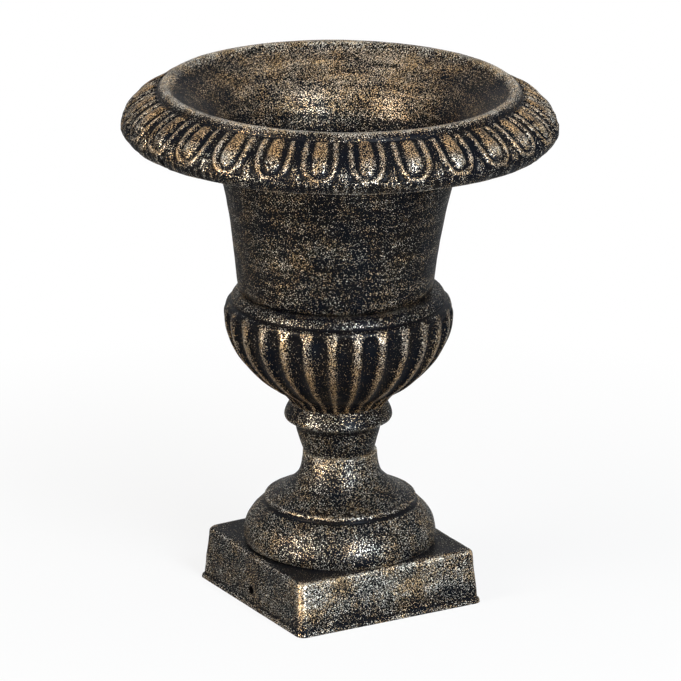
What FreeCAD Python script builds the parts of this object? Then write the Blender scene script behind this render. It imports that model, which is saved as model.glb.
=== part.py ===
import FreeCAD, Part
import math
import os

from FreeCAD import Vector

# Cast iron garden vase in millimetres, +Z up, origin at the middle of the plinth's underside.
# Five sand castings stand on each other, and one long bolt through their middle clamps them.
# From the ground up they are plinth, foot, knop, fluted cup and bell.

# Heights of the five castings
plinth_height = 33.0
foot_height = 55.0
knop_height = 30.8
cup_height = 67.8
bell_height = 122.7

# Plinth: a square box, open below, with its sides leaning in and a thin lip round the ground
plinth_side = 120.5
plinth_top_side = 114.0
plinth_lip = 0.6
plinth_lip_height = 2.4
plinth_corner_radius = 4.6
plinth_edge_radius = 2.6
plinth_wall = 5.0
plinth_plate = 6.0
weep_hole_diameter = 5.0
weep_hole_height = 10.3

# Foot: a big rounded moulding, a small raised ring and a neck that flares down to it
foot_radius = 56.6
foot_round_start = 8.0
foot_round_top = 22.5
foot_round_top_radius = 46.2
foot_ring_radius = 44.3
foot_ring_bottom = 24.6
foot_ring_top = 27.2
foot_ring_inner_radius = 41.6
neck_radius = 21.8
foot_wall = 5.0
foot_web = 6.0

# Knop: a taper that widens upwards, then a deep undercut and a bulging collar
knop_bottom_radius = 20.8
knop_top_radius = 25.2
knop_taper_height = 17.2
collar_radius = 31.5
collar_bottom_height = 20.6
collar_bulge = 0.5
collar_bulge_rise = 2.0
collar_top_radius = 28.4
knop_wall = 5.0
knop_web = 6.0

# Cup: a round bowl with flutes, a narrow band above them and a lip that slopes in
cup_bottom_radius = 28.2
cup_radius = 66.5
cup_belly_height = 52.5
cup_edge_radius = 64.6
cup_edge_height = 60.0
cup_band_radius = 62.6
cup_band_height = 62.2
cup_seat_radius = 57.6
cup_mouth_radius = 50.0
cup_wall = 4.6
cup_floor = 6.0
flute_count = 28
flute_depth = 2.4
flute_land = 5.6
flute_land_crown = 0.4
flute_head_step = 0.7
flute_flat_share = 0.91

# Bell: a tall tapered pot whose mouth flares out into a rolled rim
bell_bottom_radius = 55.6
bell_side_radius = 57.3
bell_side_start = 6.2
throat_radius = 66.7
throat_height = 64.2
bell_wall = 5.4
bell_floor = 6.0
bell_floor_round = 7.0
drain_hole_diameter = 8.0
drain_hole_count = 3
drain_circle_radius = 30.0

# Rolled rim: an edge band, an ornament slope, a lip bead and a hollow underside
rim_radius = 126.4
rim_belly_drop = 23.5
rim_edge_tuck = 4.7
rim_edge_drop = 30.3
rim_edge_width = 4.4
rim_wall = 6.2
slope_width = 21.4
slope_top_drop = 3.4
bead_radius = 3.0
bead_height = 1.5
bead_step = 1.4
dish_lip_step = 0.8
dish_lip_drop = 2.4

# Egg-and-dart on the rim's slope: framed eggs, with a dart between each two, over a sunk ground.
# The shares are widths, as parts of the distance from one egg to the next.
egg_count = 28
egg_turn_degrees = 3.4
egg_share = 0.37
egg_crown_share = 0.16
egg_frame_share = 0.66
dart_share = 0.19
ornament_depth = 1.35
ornament_backing = 1.05
ornament_ledge = 0.5

# Through bolt, its two washers, spring washer and nut
bolt_diameter = 8.0
bolt_play = 4.0
bolt_head_width = 13.0
bolt_head_height = 5.3
bolt_head_chamfer = 0.7
bolt_spare_length = 2.9
washer_diameter = 24.0
washer_thickness = 1.5
washer_clearance = 0.4
spring_washer_width = 3.2
spring_washer_thickness = 2.0
spring_washer_gap = 1.6
spring_washer_slant_degrees = 25
nut_width = 13.0
nut_height = 6.5

# How many straight facets stand in for each kind of curve in a casting's outline
edge_facets = 2
cove_facets = 3
round_facets = 4
neck_facets = 6
flare_facets = 6
dish_facets = 7
ornament_facets = 7

# How far a cutting shape runs past the face it cuts
overrun = 2.0

# Outline points closer together than this are one corner
same_point_distance = 0.001

# Heights of the four joints between the castings
foot_base = plinth_height
knop_base = foot_base + foot_height
cup_base = knop_base + knop_height
bell_base = cup_base + cup_height
bell_top = bell_base + bell_height

# Radii of the rim's circles, from its widest one inwards
slope_top_radius = rim_radius - slope_width
lip_radius = slope_top_radius - bead_step - bead_radius
dish_lip_radius = lip_radius - bead_radius - dish_lip_step


def arc(start, middle, end, facets):
    """A circle's arc through three (radius, height) points, laid out as short straight facets."""
    corners = [Vector(radius, 0, height) for radius, height in (start, middle, end)]
    return laid_out(Part.Arc(*corners).toShape(), start, facets)


def smooth(points, facets):
    """A smooth curve through a few (radius, height) points, laid out as short straight facets."""
    curve = Part.BSplineCurve()
    curve.interpolate([Vector(radius, 0, height) for radius, height in points])
    return laid_out(curve.toShape(), points[0], facets)


def laid_out(edge, start, facets):
    """The ends of an edge's facets, walked from the given start."""
    points = [(point.x, point.z) for point in edge.discretize(Number=facets + 1)]
    from_first = math.dist(points[0], start)
    from_last = math.dist(points[-1], start)
    return points if from_first < from_last else points[::-1]


def between(start, end, shares):
    """Points between two corners, given as shares of the way across and of the way up."""
    return [(start[0] + (end[0] - start[0]) * across, start[1] + (end[1] - start[1]) * up)
            for across, up in shares]


def inset(points, distance):
    """The same line of points, moved square to itself, to its left as it is walked."""
    moved = []
    for index, (radius, height) in enumerate(points):
        before = points[max(index - 1, 0)]
        after = points[min(index + 1, len(points) - 1)]
        run = math.dist(before, after)
        moved.append((radius - (after[1] - before[1]) / run * distance,
                      height + (after[0] - before[0]) / run * distance))
    return moved


def turned(outline):
    """The solid that a closed outline of (radius, height) points sweeps about the axis."""
    corners = [Vector(radius, 0, height) for radius, height in outline + outline[:1]]
    runs = [(start, end) for start, end in zip(corners, corners[1:])
            if not start.isEqual(end, same_point_distance)]
    wire = Part.Wire([Part.LineSegment(start, end).toShape() for start, end in runs])
    return Part.Face(wire).revolve(Vector(0, 0, 0), Vector(0, 0, 1), 360)


def upright_cylinder(diameter, height, base, offset=0):
    """A vertical cylinder that starts at a height, on the axis or beside it."""
    return Part.makeCylinder(diameter / 2, height, Vector(offset, 0, base))


def bolt_hole(base, thickness):
    """The cored hole that lets the bolt through a web or floor, with some play all round."""
    return upright_cylinder(bolt_diameter + bolt_play, thickness + 2 * overrun, base - overrun)


def around(shape, count):
    """The same shape repeated evenly about the vertical axis."""
    turn = 360 / count
    return [shape.copy().rotate(Vector(0, 0, 0), Vector(0, 0, 1), turn * step)
            for step in range(count)]


# Plinth

def leaning_box(bottom_side, top_side, base, height, corner):
    """A square block whose sides lean in evenly, with its four leaning edges rounded."""
    low = bottom_side / 2
    high = top_side / 2
    block = Part.makeWedge(-low, 0, -low, -high, -high, low, height, low, high, high)
    block.rotate(Vector(0, 0, 0), Vector(1, 0, 0), 90)
    block.translate(Vector(0, 0, base))
    leaning = [edge for edge in block.Edges if edge.BoundBox.ZLength > height / 2]
    return block.makeFillet(corner, leaning)


def make_plinth():
    """The square box: leaning sides over a thin ground lip, hollow and open underneath."""
    side_above_lip = plinth_side - 2 * plinth_lip
    lean = (side_above_lip - plinth_top_side) / (plinth_height - plinth_lip_height)
    body = leaning_box(side_above_lip + plinth_lip_height * lean, plinth_top_side, 0,
                       plinth_height, plinth_corner_radius)
    top_edges = [edge for edge in body.Edges
                 if edge.BoundBox.ZMin > plinth_height - plinth_edge_radius]
    body = body.makeFillet(plinth_edge_radius, top_edges)
    lip = leaning_box(plinth_side, plinth_side - plinth_lip, 0, plinth_lip_height,
                      plinth_corner_radius)

    hollow_top = plinth_height - plinth_plate
    hollow_top_side = plinth_top_side + plinth_plate * lean - 2 * plinth_wall
    hollow_side = hollow_top_side + (hollow_top + overrun) * lean
    hollow = leaning_box(hollow_side, hollow_top_side, -overrun, hollow_top + overrun,
                         plinth_corner_radius)
    weep_hole = Part.makeCylinder(weep_hole_diameter / 2, plinth_wall + 2 * overrun,
                                  Vector(-plinth_side / 2 - overrun, 0, weep_hole_height),
                                  Vector(1, 0, 0))
    return body.fuse(lip).cut([hollow, weep_hole, bolt_hole(hollow_top, plinth_plate)])


# Foot

def make_foot():
    """The round moulding, its ring and the neck, cored out from below to an even wall."""
    base = foot_base
    top = foot_base + foot_height
    round_start = (foot_radius, base + foot_round_start)
    round_end = (foot_round_top_radius, base + foot_round_top)
    round_share = [(0.27, 0.68)]
    round_middle = between(round_start, round_end, round_share)[0]
    ring_low = (foot_ring_radius, base + foot_ring_bottom)
    ring_high = (foot_ring_radius, base + foot_ring_top)
    ring_inner = (foot_ring_inner_radius, base + foot_ring_top)
    neck_shares = [(0, 0), (0.22, 0.055), (0.46, 0.17), (0.72, 0.34), (0.9, 0.57), (1, 1)]
    neck = between(ring_inner, (neck_radius, top), neck_shares)
    outside = [(0, base), (foot_radius, base)]
    outside += arc(round_start, round_middle, round_end, round_facets)
    outside += [ring_low, ring_high]
    outside += smooth(neck, neck_facets)
    outside += [(0, top)]

    hollow_top = top - foot_web
    inner_radius = foot_radius - foot_wall
    bore_radius = neck_radius - foot_wall
    inner_round = inset([round_start, round_middle, round_end], foot_wall)
    inner_neck = inset(neck, foot_wall)
    inside = [(0, base - overrun), (inner_radius, base - overrun), (inner_radius, round_start[1]),
              inner_round[1], inner_neck[2], inner_neck[3], (bore_radius, inner_neck[4][1]),
              (bore_radius, hollow_top), (0, hollow_top)]
    return turned(outside).cut([turned(inside), bolt_hole(hollow_top, foot_web)])


# Knop

def make_knop():
    """The taper and its collar, cored out from above down to a web round the bolt."""
    base = knop_base
    top = knop_base + knop_height
    taper_top = (knop_top_radius, base + knop_taper_height)
    collar_low = (collar_radius, base + collar_bottom_height)
    cove_share = [(0.32, 0.74)]
    cove = between(taper_top, collar_low, cove_share)[0]
    bulge = (collar_radius + collar_bulge, collar_low[1] + collar_bulge_rise)
    collar_share = [(0.3, 0.5)]
    collar_middle = between(bulge, (collar_top_radius, top), collar_share)[0]
    outside = [(0, base), (knop_bottom_radius, base)]
    outside += arc(taper_top, cove, collar_low, cove_facets)
    outside += arc(bulge, collar_middle, (collar_top_radius, top), cove_facets)
    outside += [(0, top)]

    hollow_bottom = base + knop_web
    narrow = knop_bottom_radius - knop_wall
    wide = knop_top_radius - knop_wall
    inside = [(0, hollow_bottom), (narrow, hollow_bottom), (wide, top + overrun),
              (0, top + overrun)]
    return turned(outside).cut([turned(inside), bolt_hole(base, knop_web)])


# Cup

def cup_side():
    """The bowl's outside from the collar up to its widest circle."""
    side_shares = [(0, 0), (0.32, 0.2), (0.6, 0.395), (0.815, 0.585), (0.945, 0.785), (1, 1)]
    return between((cup_bottom_radius, cup_base), (cup_radius, cup_base + cup_belly_height),
                   side_shares)


def fluted_ring(radius, height, width_share, depth_share):
    """A level ring of hollows and crowned lands, drawn with five corners to a flute.

    Land and hollow keep their share of the circle all the way up the bowl, so that they widen
    with it. Width and depth shares under 1 draw the flute's round head.
    """
    pitch = 2 * math.pi / flute_count
    size_share = radius / cup_radius
    open_half = (pitch - flute_land / cup_radius) / 2 * width_share
    sunk = flute_depth * size_share * depth_share * flute_flat_share
    crown = flute_land_crown * size_share
    corners = []
    for step in range(flute_count):
        for turn, change in [(-open_half, 0), (-open_half / 3, -sunk), (open_half / 3, -sunk),
                             (open_half, 0), (pitch / 2, crown)]:
            angle = pitch * step + turn
            reach = radius + change
            corners.append(Vector(reach * math.cos(angle), reach * math.sin(angle), height))
    return Part.makePolygon(corners + corners[:1])


def make_cup():
    """The bowl with its flutes, hollow inside, under a lip that carries the bell."""
    base = cup_base
    top = cup_base + cup_height
    side = cup_side()
    belly = side[-1]
    edge = (cup_edge_radius, base + cup_edge_height)
    shoulder_share = [(0.3, 0.55)]
    shoulder = between(belly, edge, shoulder_share)[0]
    head_shares = [(0.2, 0.85, 0.85), (0.42, 0.5, 0.5), (0.5, 0.5, 0)]
    rings = [fluted_ring(radius, height, 1, 1) for radius, height in side]
    for up, width_share, depth_share in head_shares:
        head_height = belly[1] + (edge[1] - belly[1]) * up
        rings.append(fluted_ring(belly[0], head_height, width_share, depth_share))
    bowl = Part.makeLoft(rings, True, True)

    band = (cup_band_radius, base + cup_band_height)
    crown = turned([(0, head_height), (belly[0] + flute_head_step, head_height), edge, band,
                    (cup_seat_radius, top), (0, top)])

    hollow_bottom = base + cup_floor
    inner = inset(side, cup_wall + flute_depth)
    inside = [(0, hollow_bottom), (inner[0][0], hollow_bottom), inner[2], inner[3], inner[4],
              inner[5], (cup_mouth_radius, edge[1]), (cup_mouth_radius, top + overrun),
              (0, top + overrun)]
    return bowl.fuse(crown).cut([turned(inside), bolt_hole(base, cup_floor)])


# Bell

def bell_outer_side():
    """The pot's outside above its rounded bottom edge, up to the throat and out into the flare."""
    side_shares = [(0, 0), (0.42, 0.5), (1, 1)]
    side = between((bell_side_radius, bell_base + bell_side_start),
                   (throat_radius, bell_base + throat_height), side_shares)
    flare_shares = [(0.085, 0.38), (0.225, 0.56), (0.58, 0.72), (0.9, 0.835)]
    flare = between((throat_radius, bell_base + throat_height), (lip_radius, bell_top),
                    flare_shares)
    return side + flare


def ornament_ring(ground, crest, frame_reach, egg_rise, groove_rise, dart_rise):
    """A ring of eggs, frames and darts, drawn with nine corners to an egg.

    Each corner lies between the ground and the crest, which are (radius, height) points on the
    slope: a rise of 0 is on the ground, 1 is level with the frames, and an egg rises higher.
    """
    pitch = 2 * math.pi / egg_count
    crown = pitch * egg_crown_share / 2
    egg = pitch * egg_share / 2
    frame = pitch * egg_frame_share / 2 * frame_reach
    valley = pitch * (1 - dart_share) / 2
    corners = []
    for step in range(egg_count):
        for turn, rise in [(-valley, groove_rise), (-frame, 1), (-egg, groove_rise),
                           (-crown, egg_rise), (crown, egg_rise), (egg, groove_rise),
                           (frame, 1), (valley, groove_rise), (pitch / 2, dart_rise)]:
            angle = pitch * step + turn + math.radians(egg_turn_degrees)
            radius, height = between(ground, crest, [(rise, rise)])[0]
            corners.append(Vector(radius * math.cos(angle), radius * math.sin(angle), height))
    return Part.makePolygon(corners + corners[:1])


def make_ornament(slope):
    """The egg-and-dart band as a ring that covers the slope and reaches into the rim's wall.

    The slope's points run up from the rim's widest circle. The frames close below each egg, where
    the darts are broadest, and the eggs are fullest a third of the way up.
    """
    ground = inset(slope, ornament_depth)
    row_shares = [(0, 1, 1, 1, 1), (1, 0.8, 0, 0, 1), (2, 0.97, 1.35, 0, 0.8), (4, 1, 1.2, 0, 0),
                  (6, 1.03, 0.9, 0, 0), (7, 1.03, 1, 1, 1)]
    rings = [ornament_ring(ground[row], slope[row], *shares) for row, *shares in row_shares]
    bore = inset(slope, (ornament_depth + ornament_backing + rim_wall) / 2)
    inside = [(0, slope[0][1] - overrun), (bore[0][0], slope[0][1] - overrun)] + bore[1:]
    inside += [(bore[-1][0], slope[-1][1] + overrun), (0, slope[-1][1] + overrun)]
    return Part.makeLoft(rings, True, True).cut(turned(inside))


def make_bell():
    """The pot, its flare and the rolled rim in one casting, with drains in its floor."""
    floor_top = bell_base + bell_floor
    side = bell_outer_side()
    bottom_share = [(0.62, 0.32)]
    bottom_round = between((bell_bottom_radius, bell_base), side[0], bottom_share)[0]

    rim_belly = (rim_radius, bell_top - rim_belly_drop)
    rim_edge = (rim_radius - rim_edge_tuck, bell_top - rim_edge_drop)
    rim_edge_inner = (rim_edge[0] - rim_edge_width, rim_edge[1])
    slope_top = (slope_top_radius, bell_top - slope_top_drop)
    slope_share = [(0.62, 0.34)]
    slope_middle = between(slope_top, rim_belly, slope_share)[0]
    slope = arc(rim_belly, slope_middle, slope_top, ornament_facets)
    seat = inset(slope, ornament_depth + ornament_backing)
    band_radius = rim_radius - ornament_ledge
    riser_radius = slope_top_radius - ornament_ledge
    edge_share = [(0.3, 0.55)]
    edge_middle = between(rim_belly, rim_edge, edge_share)[0]
    under_slope = inset(slope, rim_wall)
    under_start = (rim_edge_inner[0], under_slope[0][1])
    bead_top = (lip_radius, bell_top)
    bead_inner = (lip_radius - bead_radius, bell_top - bead_height)
    bead_outer = (lip_radius + bead_radius, bell_top - bead_height)
    dish_lip = (dish_lip_radius, bell_top - dish_lip_drop)

    inner_side = inset(side, bell_wall)
    wall_foot = (inner_side[0][0], floor_top + bell_floor_round)
    floor_corner = (wall_foot[0] - bell_floor_round, floor_top)
    round_share = [(0.29, 0.71)]
    floor_round = between(wall_foot, floor_corner, round_share)[0]
    outline = [(0, bell_base)]
    outline += arc((bell_bottom_radius, bell_base), bottom_round, side[0], edge_facets)
    outline += smooth(side, flare_facets)
    outline += [under_slope[5], under_slope[3], under_start]
    outline += [rim_edge_inner, rim_edge, edge_middle]
    outline += [(band_radius, rim_belly[1] - ornament_ledge),
                (band_radius, rim_belly[1] + ornament_ledge)]
    outline += seat[1:-1]
    outline += [(riser_radius, seat[-1][1]), (riser_radius, slope_top[1] + ornament_ledge)]
    outline += arc(bead_outer, bead_top, bead_inner, round_facets)
    outline += smooth([dish_lip] + inner_side[:0:-1] + [wall_foot], dish_facets)
    outline += [floor_round, floor_corner, (0, floor_top)]
    drain = upright_cylinder(drain_hole_diameter, bell_floor + 2 * overrun,
                             bell_base - overrun, drain_circle_radius)
    drains = around(drain, drain_hole_count)
    pot = turned(outline).cut([bolt_hole(bell_base, bell_floor)] + drains)
    return pot.fuse(make_ornament(slope))


# Bolt, washers and nut

bolt_seat = bell_base + bell_floor + washer_thickness
washer_underside = plinth_height - plinth_plate - washer_thickness
nut_top = washer_underside - spring_washer_thickness
bolt_end = nut_top - nut_height - bolt_spare_length
washer_hole_diameter = bolt_diameter + washer_clearance


def hexagon(width, height, base):
    """A hexagonal prism that starts at a height."""
    corner = width / math.sqrt(3)
    points = [Vector(corner * math.cos(math.pi / 3 * step), corner * math.sin(math.pi / 3 * step),
                     base) for step in range(6)]
    return Part.Face(Part.makePolygon(points + points[:1])).extrude(Vector(0, 0, height))


def make_bolt():
    """The long through bolt, its head's corners turned off, standing in the pot."""
    shank = upright_cylinder(bolt_diameter, bolt_seat - bolt_end, bolt_end)
    head = hexagon(bolt_head_width, bolt_head_height, bolt_seat)
    corner = bolt_head_width / math.sqrt(3)
    head_top = bolt_seat + bolt_head_height
    barrel = turned([(0, bolt_seat), (corner, bolt_seat), (corner, head_top - bolt_head_chamfer),
                     (bolt_head_width / 2, head_top), (0, head_top)])
    return shank.fuse(head.common(barrel))


def make_washer(base):
    """A wide flat washer that bridges the cored hole."""
    disc = upright_cylinder(washer_diameter, washer_thickness, base)
    return disc.cut(upright_cylinder(washer_hole_diameter, washer_thickness + 2 * overrun,
                                     base - overrun))


def make_spring_washer():
    """A split ring, wound so that it keeps the nut tight."""
    base = nut_top
    outer_diameter = washer_hole_diameter + 2 * spring_washer_width
    ring = upright_cylinder(outer_diameter, spring_washer_thickness, base)
    ring = ring.cut(upright_cylinder(washer_hole_diameter,
                                     spring_washer_thickness + 2 * overrun, base - overrun))
    slit = Part.makeBox(outer_diameter, spring_washer_gap,
                        spring_washer_thickness + 2 * overrun,
                        Vector(0, -spring_washer_gap / 2, base - overrun))
    middle = Vector(outer_diameter / 2, 0, base + spring_washer_thickness / 2)
    slit.rotate(middle, Vector(1, 0, 0), spring_washer_slant_degrees)
    return ring.cut(slit)


def make_nut():
    """The hexagon nut under the plinth's plate."""
    blank = hexagon(nut_width, nut_height, nut_top - nut_height)
    return blank.cut(upright_cylinder(bolt_diameter, nut_height + 2 * overrun,
                                      nut_top - nut_height - overrun))


pieces = {
    "plinth": make_plinth(),
    "foot": make_foot(),
    "knop": make_knop(),
    "cup": make_cup(),
    "bell": make_bell(),
    "tie_bolt": make_bolt(),
    "bowl_washer": make_washer(bolt_seat - washer_thickness),
    "base_washer": make_washer(washer_underside),
    "spring_washer": make_spring_washer(),
    "nut": make_nut(),
}

os.makedirs("parts", exist_ok=True)
for name, shape in pieces.items():
    shape.exportStep("parts/" + name + ".step")
    box = shape.optimalBoundingBox(True, False)
    print(name, "solids", len(shape.Solids), "valid", shape.isValid(),
          "volume", round(shape.Volume), "z", round(box.ZMin, 2), round(box.ZMax, 2),
          "width", round(box.XLength, 2), round(box.YLength, 2))
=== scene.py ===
import math

import bpy
import numpy as np
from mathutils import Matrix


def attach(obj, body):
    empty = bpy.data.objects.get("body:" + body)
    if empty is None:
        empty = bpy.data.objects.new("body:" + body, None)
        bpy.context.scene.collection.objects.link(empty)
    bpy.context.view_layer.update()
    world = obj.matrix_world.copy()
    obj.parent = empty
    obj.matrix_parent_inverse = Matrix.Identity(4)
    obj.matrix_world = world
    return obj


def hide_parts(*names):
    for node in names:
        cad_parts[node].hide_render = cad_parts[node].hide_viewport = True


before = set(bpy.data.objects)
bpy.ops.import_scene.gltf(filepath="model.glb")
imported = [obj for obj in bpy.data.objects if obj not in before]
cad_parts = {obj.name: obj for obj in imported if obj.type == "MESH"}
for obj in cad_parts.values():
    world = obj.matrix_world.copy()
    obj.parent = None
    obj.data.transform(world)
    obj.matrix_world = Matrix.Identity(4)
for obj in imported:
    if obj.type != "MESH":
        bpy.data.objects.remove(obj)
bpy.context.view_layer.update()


# The photograph's view
# A long lens looks down on the vase by eighteen degrees, with one corner of the plinth towards it.
# Headings are degrees round the vase, and the lens stands at the front one.
front = -119.75
right = front + 90.0
back = front + 180.0
left = front + 270.0
lens_tilt = 17.87
lens = bpy.data.cameras.new("photograph_view")
lens.lens = 299.8
lens.sensor_width = 36.0
lens.clip_end = 50.0
camera = bpy.data.objects.new("photograph_view", lens)
camera.location = (-1.564, -2.737, 1.171)
camera.rotation_euler = (math.radians(90.0 - lens_tilt), 0.0, math.radians(right))
bpy.context.scene.collection.objects.link(camera)
bpy.context.scene.camera = camera
bpy.context.scene.view_settings.view_transform = "Standard"


# The studio
# A white floor that runs out of sight and a white room seen by the lens and in the paint's gloss.
# Two high soft lamps light the vase, warm from the left and cooler from the right, and two low ones
# show only as sheens in the gloss.
white = (1.0, 1.0, 1.0, 1.0)
floor_reach = 9.0
floor_paint = (0.82, 0.82, 0.82, 1.0)
shadow_near = 0.1
shadow_far = 0.5
white_in_shadow = 0.85
room_on_vase = 0.12
vase_middle = 0.16


def feed(tree, node, inputs):
    """Fills a node's inputs, each with a number, a colour or another node's output."""
    for title, value in inputs.items():
        if isinstance(value, bpy.types.NodeSocket):
            tree.links.new(value, node.inputs[title])
        else:
            node.inputs[title].default_value = value


def add_node(tree, kind, inputs=None, **settings):
    """A new shader node with its settings and its inputs."""
    node = tree.nodes.new(kind)
    for name, value in settings.items():
        setattr(node, name, value)
    feed(tree, node, inputs or {})
    return node


def reckon(tree, operation, first, second):
    """One step of arithmetic with two numbers in a shader."""
    return add_node(tree, "ShaderNodeMath", {0: first, 1: second}, operation=operation).outputs[0]


def spread(tree, value, low, high, to_low, to_high):
    """A number in a shader, moved from the range low to high into another and kept inside it."""
    return add_node(tree, "ShaderNodeMapRange",
                    {"Value": value, "From Min": low, "From Max": high, "To Min": to_low,
                     "To Max": to_high}).outputs[0]


floor_corners = np.array([[-1, -1, 0], [1, -1, 0], [1, 1, 0], [-1, 1, 0]]) * floor_reach
floor_mesh = bpy.data.meshes.new("floor")
floor_mesh.from_pydata(floor_corners.tolist(), [], [[0, 1, 2, 3]])
floor = bpy.data.objects.new("floor", floor_mesh)
bpy.context.scene.collection.objects.link(floor)

# The lens sees the floor as plain white, and near the vase partly as paper, which keeps the shadow.
floor_paper = bpy.data.materials.new("floor_paper")
floor_paper.use_nodes = True
paper = floor_paper.node_tree
paper.nodes.clear()
paper_place = add_node(paper, "ShaderNodeTexCoord").outputs["Object"]
paper_away = add_node(paper, "ShaderNodeVectorMath", {0: paper_place}, operation="LENGTH")
paper_clear = spread(paper, paper_away.outputs["Value"], shadow_near, shadow_far,
                     white_in_shadow, 1.0)
paper_seen = add_node(paper, "ShaderNodeLightPath").outputs["Is Camera Ray"]
paper_mix = add_node(paper, "ShaderNodeMixShader", {
    "Fac": reckon(paper, "MULTIPLY", paper_seen, paper_clear),
    1: add_node(paper, "ShaderNodeBsdfDiffuse", {"Color": floor_paint}).outputs[0],
    2: add_node(paper, "ShaderNodeEmission", {"Color": white, "Strength": 1.0}).outputs[0]})
add_node(paper, "ShaderNodeOutputMaterial", {"Surface": paper_mix.outputs[0]})
floor_mesh.materials.append(floor_paper)

room = bpy.data.worlds.new("white_room")
room.use_nodes = True
bpy.context.scene.world = room
walls = room.node_tree
walls.nodes.clear()
wall_rays = add_node(walls, "ShaderNodeLightPath").outputs
walls_seen = reckon(walls, "MAXIMUM", wall_rays["Is Camera Ray"], wall_rays["Is Glossy Ray"])
walls_seen = reckon(walls, "MAXIMUM", walls_seen, wall_rays["Is Transmission Ray"])
wall_light = add_node(walls, "ShaderNodeBackground", {
    "Color": white, "Strength": spread(walls, walls_seen, 0.0, 1.0, room_on_vase, 1.0)})
add_node(walls, "ShaderNodeOutputWorld", {"Surface": wall_light.outputs[0]})


def hang_lamp(name, across, up, away, size, power, colour, gloss_only=False):
    """A soft lamp that stands across degrees right of the lens and up degrees above level.

    Its place is the vase's middle plus away metres along that direction, and it faces the vase.
    """
    turn = math.radians(across + front)
    rise = math.radians(up)
    towards = np.array([math.cos(rise) * math.cos(turn), math.cos(rise) * math.sin(turn),
                        math.sin(rise)])
    lamp = bpy.data.lights.new(name, "AREA")
    lamp.shape = "RECTANGLE"
    lamp.size, lamp.size_y = size
    lamp.energy = power
    lamp.color = colour
    hung = bpy.data.objects.new(name, lamp)
    hung.location = towards * away + np.array([0.0, 0.0, vase_middle])
    hung.rotation_euler = (math.radians(90.0) - rise, 0.0, turn + math.radians(90.0))
    hung.visible_diffuse = not gloss_only
    bpy.context.scene.collection.objects.link(hung)


hang_lamp("left_lamp", -58.0, 38.0, 1.9, (0.50, 1.0), 18.0, (1.0, 0.95, 0.88))
hang_lamp("right_lamp", 32.0, 38.0, 1.9, (0.50, 1.0), 38.0, (0.88, 0.94, 1.0))
hang_lamp("left_sheen", -52.0, 9.0, 1.8, (0.60, 0.85), 105.0, (1.0, 0.90, 0.76), gloss_only=True)
hang_lamp("right_sheen", 26.0, 9.0, 1.8, (0.50, 0.85), 98.0, (0.78, 0.88, 1.0), gloss_only=True)


# Plinth
# The square base is a sand casting: a hollow box, open underneath, with leaning sides, a thin lip
# round the ground and a weep hole. It is sprayed black, then its grain and edges are rubbed with
# a nearly dry brush of pale gold, so the gold sits on the high grains only.
MM = 0.001
bolt_bore = 6.0
plinth_top = 33.0
plate_under = 27.0
plinth_top_half = 58.4
plinth_foot_half = 60.4
plinth_edge_round = 2.8
lip_height = 2.9
lip_half = 61.7
inside_foot_half = 54.9
inside_top_half = 52.2
plinth_columns = 320
plinth_turned = -1.0
plate_sunk = 1.3
weep_place = (-57.5, 0.0, 10.3)
weep_radius = 2.5


def soft_step(values, low, high):
    """Nought below low, one above high and a smooth s between them."""
    t = np.clip((values - low) / (high - low), 0.0, 1.0)
    return t * t * (3.0 - 2.0 * t)


def soft_fall(values, low, high):
    """One below low, nought above high and a smooth s between them."""
    return soft_step(-values, -high, -low)


def round_corner(before, corner, after, radius, steps=8):
    """Points of a round that leaves one straight and joins the next, cutting the corner off.

    It is the square-law curve that starts and ends one radius from the corner and is pulled
    towards it.
    """
    before, corner, after = (np.array(p, float) for p in (before, corner, after))
    start = corner + (before - corner) / np.linalg.norm(before - corner) * radius
    end = corner + (after - corner) / np.linalg.norm(after - corner) * radius
    t = np.linspace(0.0, 1.0, steps)[:, None]
    return (1 - t) ** 2 * start + 2 * t * (1 - t) * corner + t ** 2 * end


def cast_outline(runs, rounding, rows, crowd=3.0):
    """The line of a casting's section, with its corners rounded as sand rounds them.

    The runs are joined, walked at a tenth of a millimetre, and each point becomes the average of
    its neighbours under a bell curve as wide as the rounding. The rows are then spread along the
    line, closer together where it bends. Gives each row's two numbers, its bend and its distance
    along the line; a bend is positive where the line turns right, which is outwards here.
    """
    stride = 0.1
    crowd_width = 0.3
    bend_width = 0.7
    line = np.vstack(runs)
    step = np.hypot(*np.diff(line, axis=0, append=line[:1]).T)
    along = np.concatenate([[0.0], np.cumsum(step)])
    closed = np.vstack([line, line[:1]])
    count = int(round(along[-1] / stride))
    fine = np.linspace(0.0, along[-1], count, endpoint=False)
    points = np.stack([np.interp(fine, along, closed[:, k]) for k in range(2)], axis=1)
    turns = np.fft.rfftfreq(count, along[-1] / count)

    def blur(values, width):
        return np.fft.irfft(np.fft.rfft(values) * np.exp(-2.0 * (math.pi * turns * width) ** 2),
                            count)

    points = np.stack([blur(points[:, k], rounding) for k in range(2)], axis=1)
    ahead = np.roll(points, -1, axis=0) - points
    heading = np.unwrap(np.arctan2(ahead[:, 1], ahead[:, 0]))
    total = round((heading[-1] - heading[0]) / (2.0 * math.pi)) * 2.0 * math.pi
    bend = -(np.diff(heading, append=heading[0] + total)) / stride
    crowding = np.cumsum(1.0 + crowd * blur(np.abs(bend), crowd_width))
    crowding = np.concatenate([[0.0], crowding])
    chosen = np.interp(np.linspace(0.0, crowding[-1], rows, endpoint=False), crowding,
                       np.arange(count + 1))
    wide_bend = blur(bend, bend_width)

    def pick(values):
        return np.interp(chosen, np.arange(count + 1), np.append(values, values[0]))

    return (np.stack([pick(points[:, 0]), pick(points[:, 1])], axis=1), pick(wide_bend),
            chosen * along[-1] / count)


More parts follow.
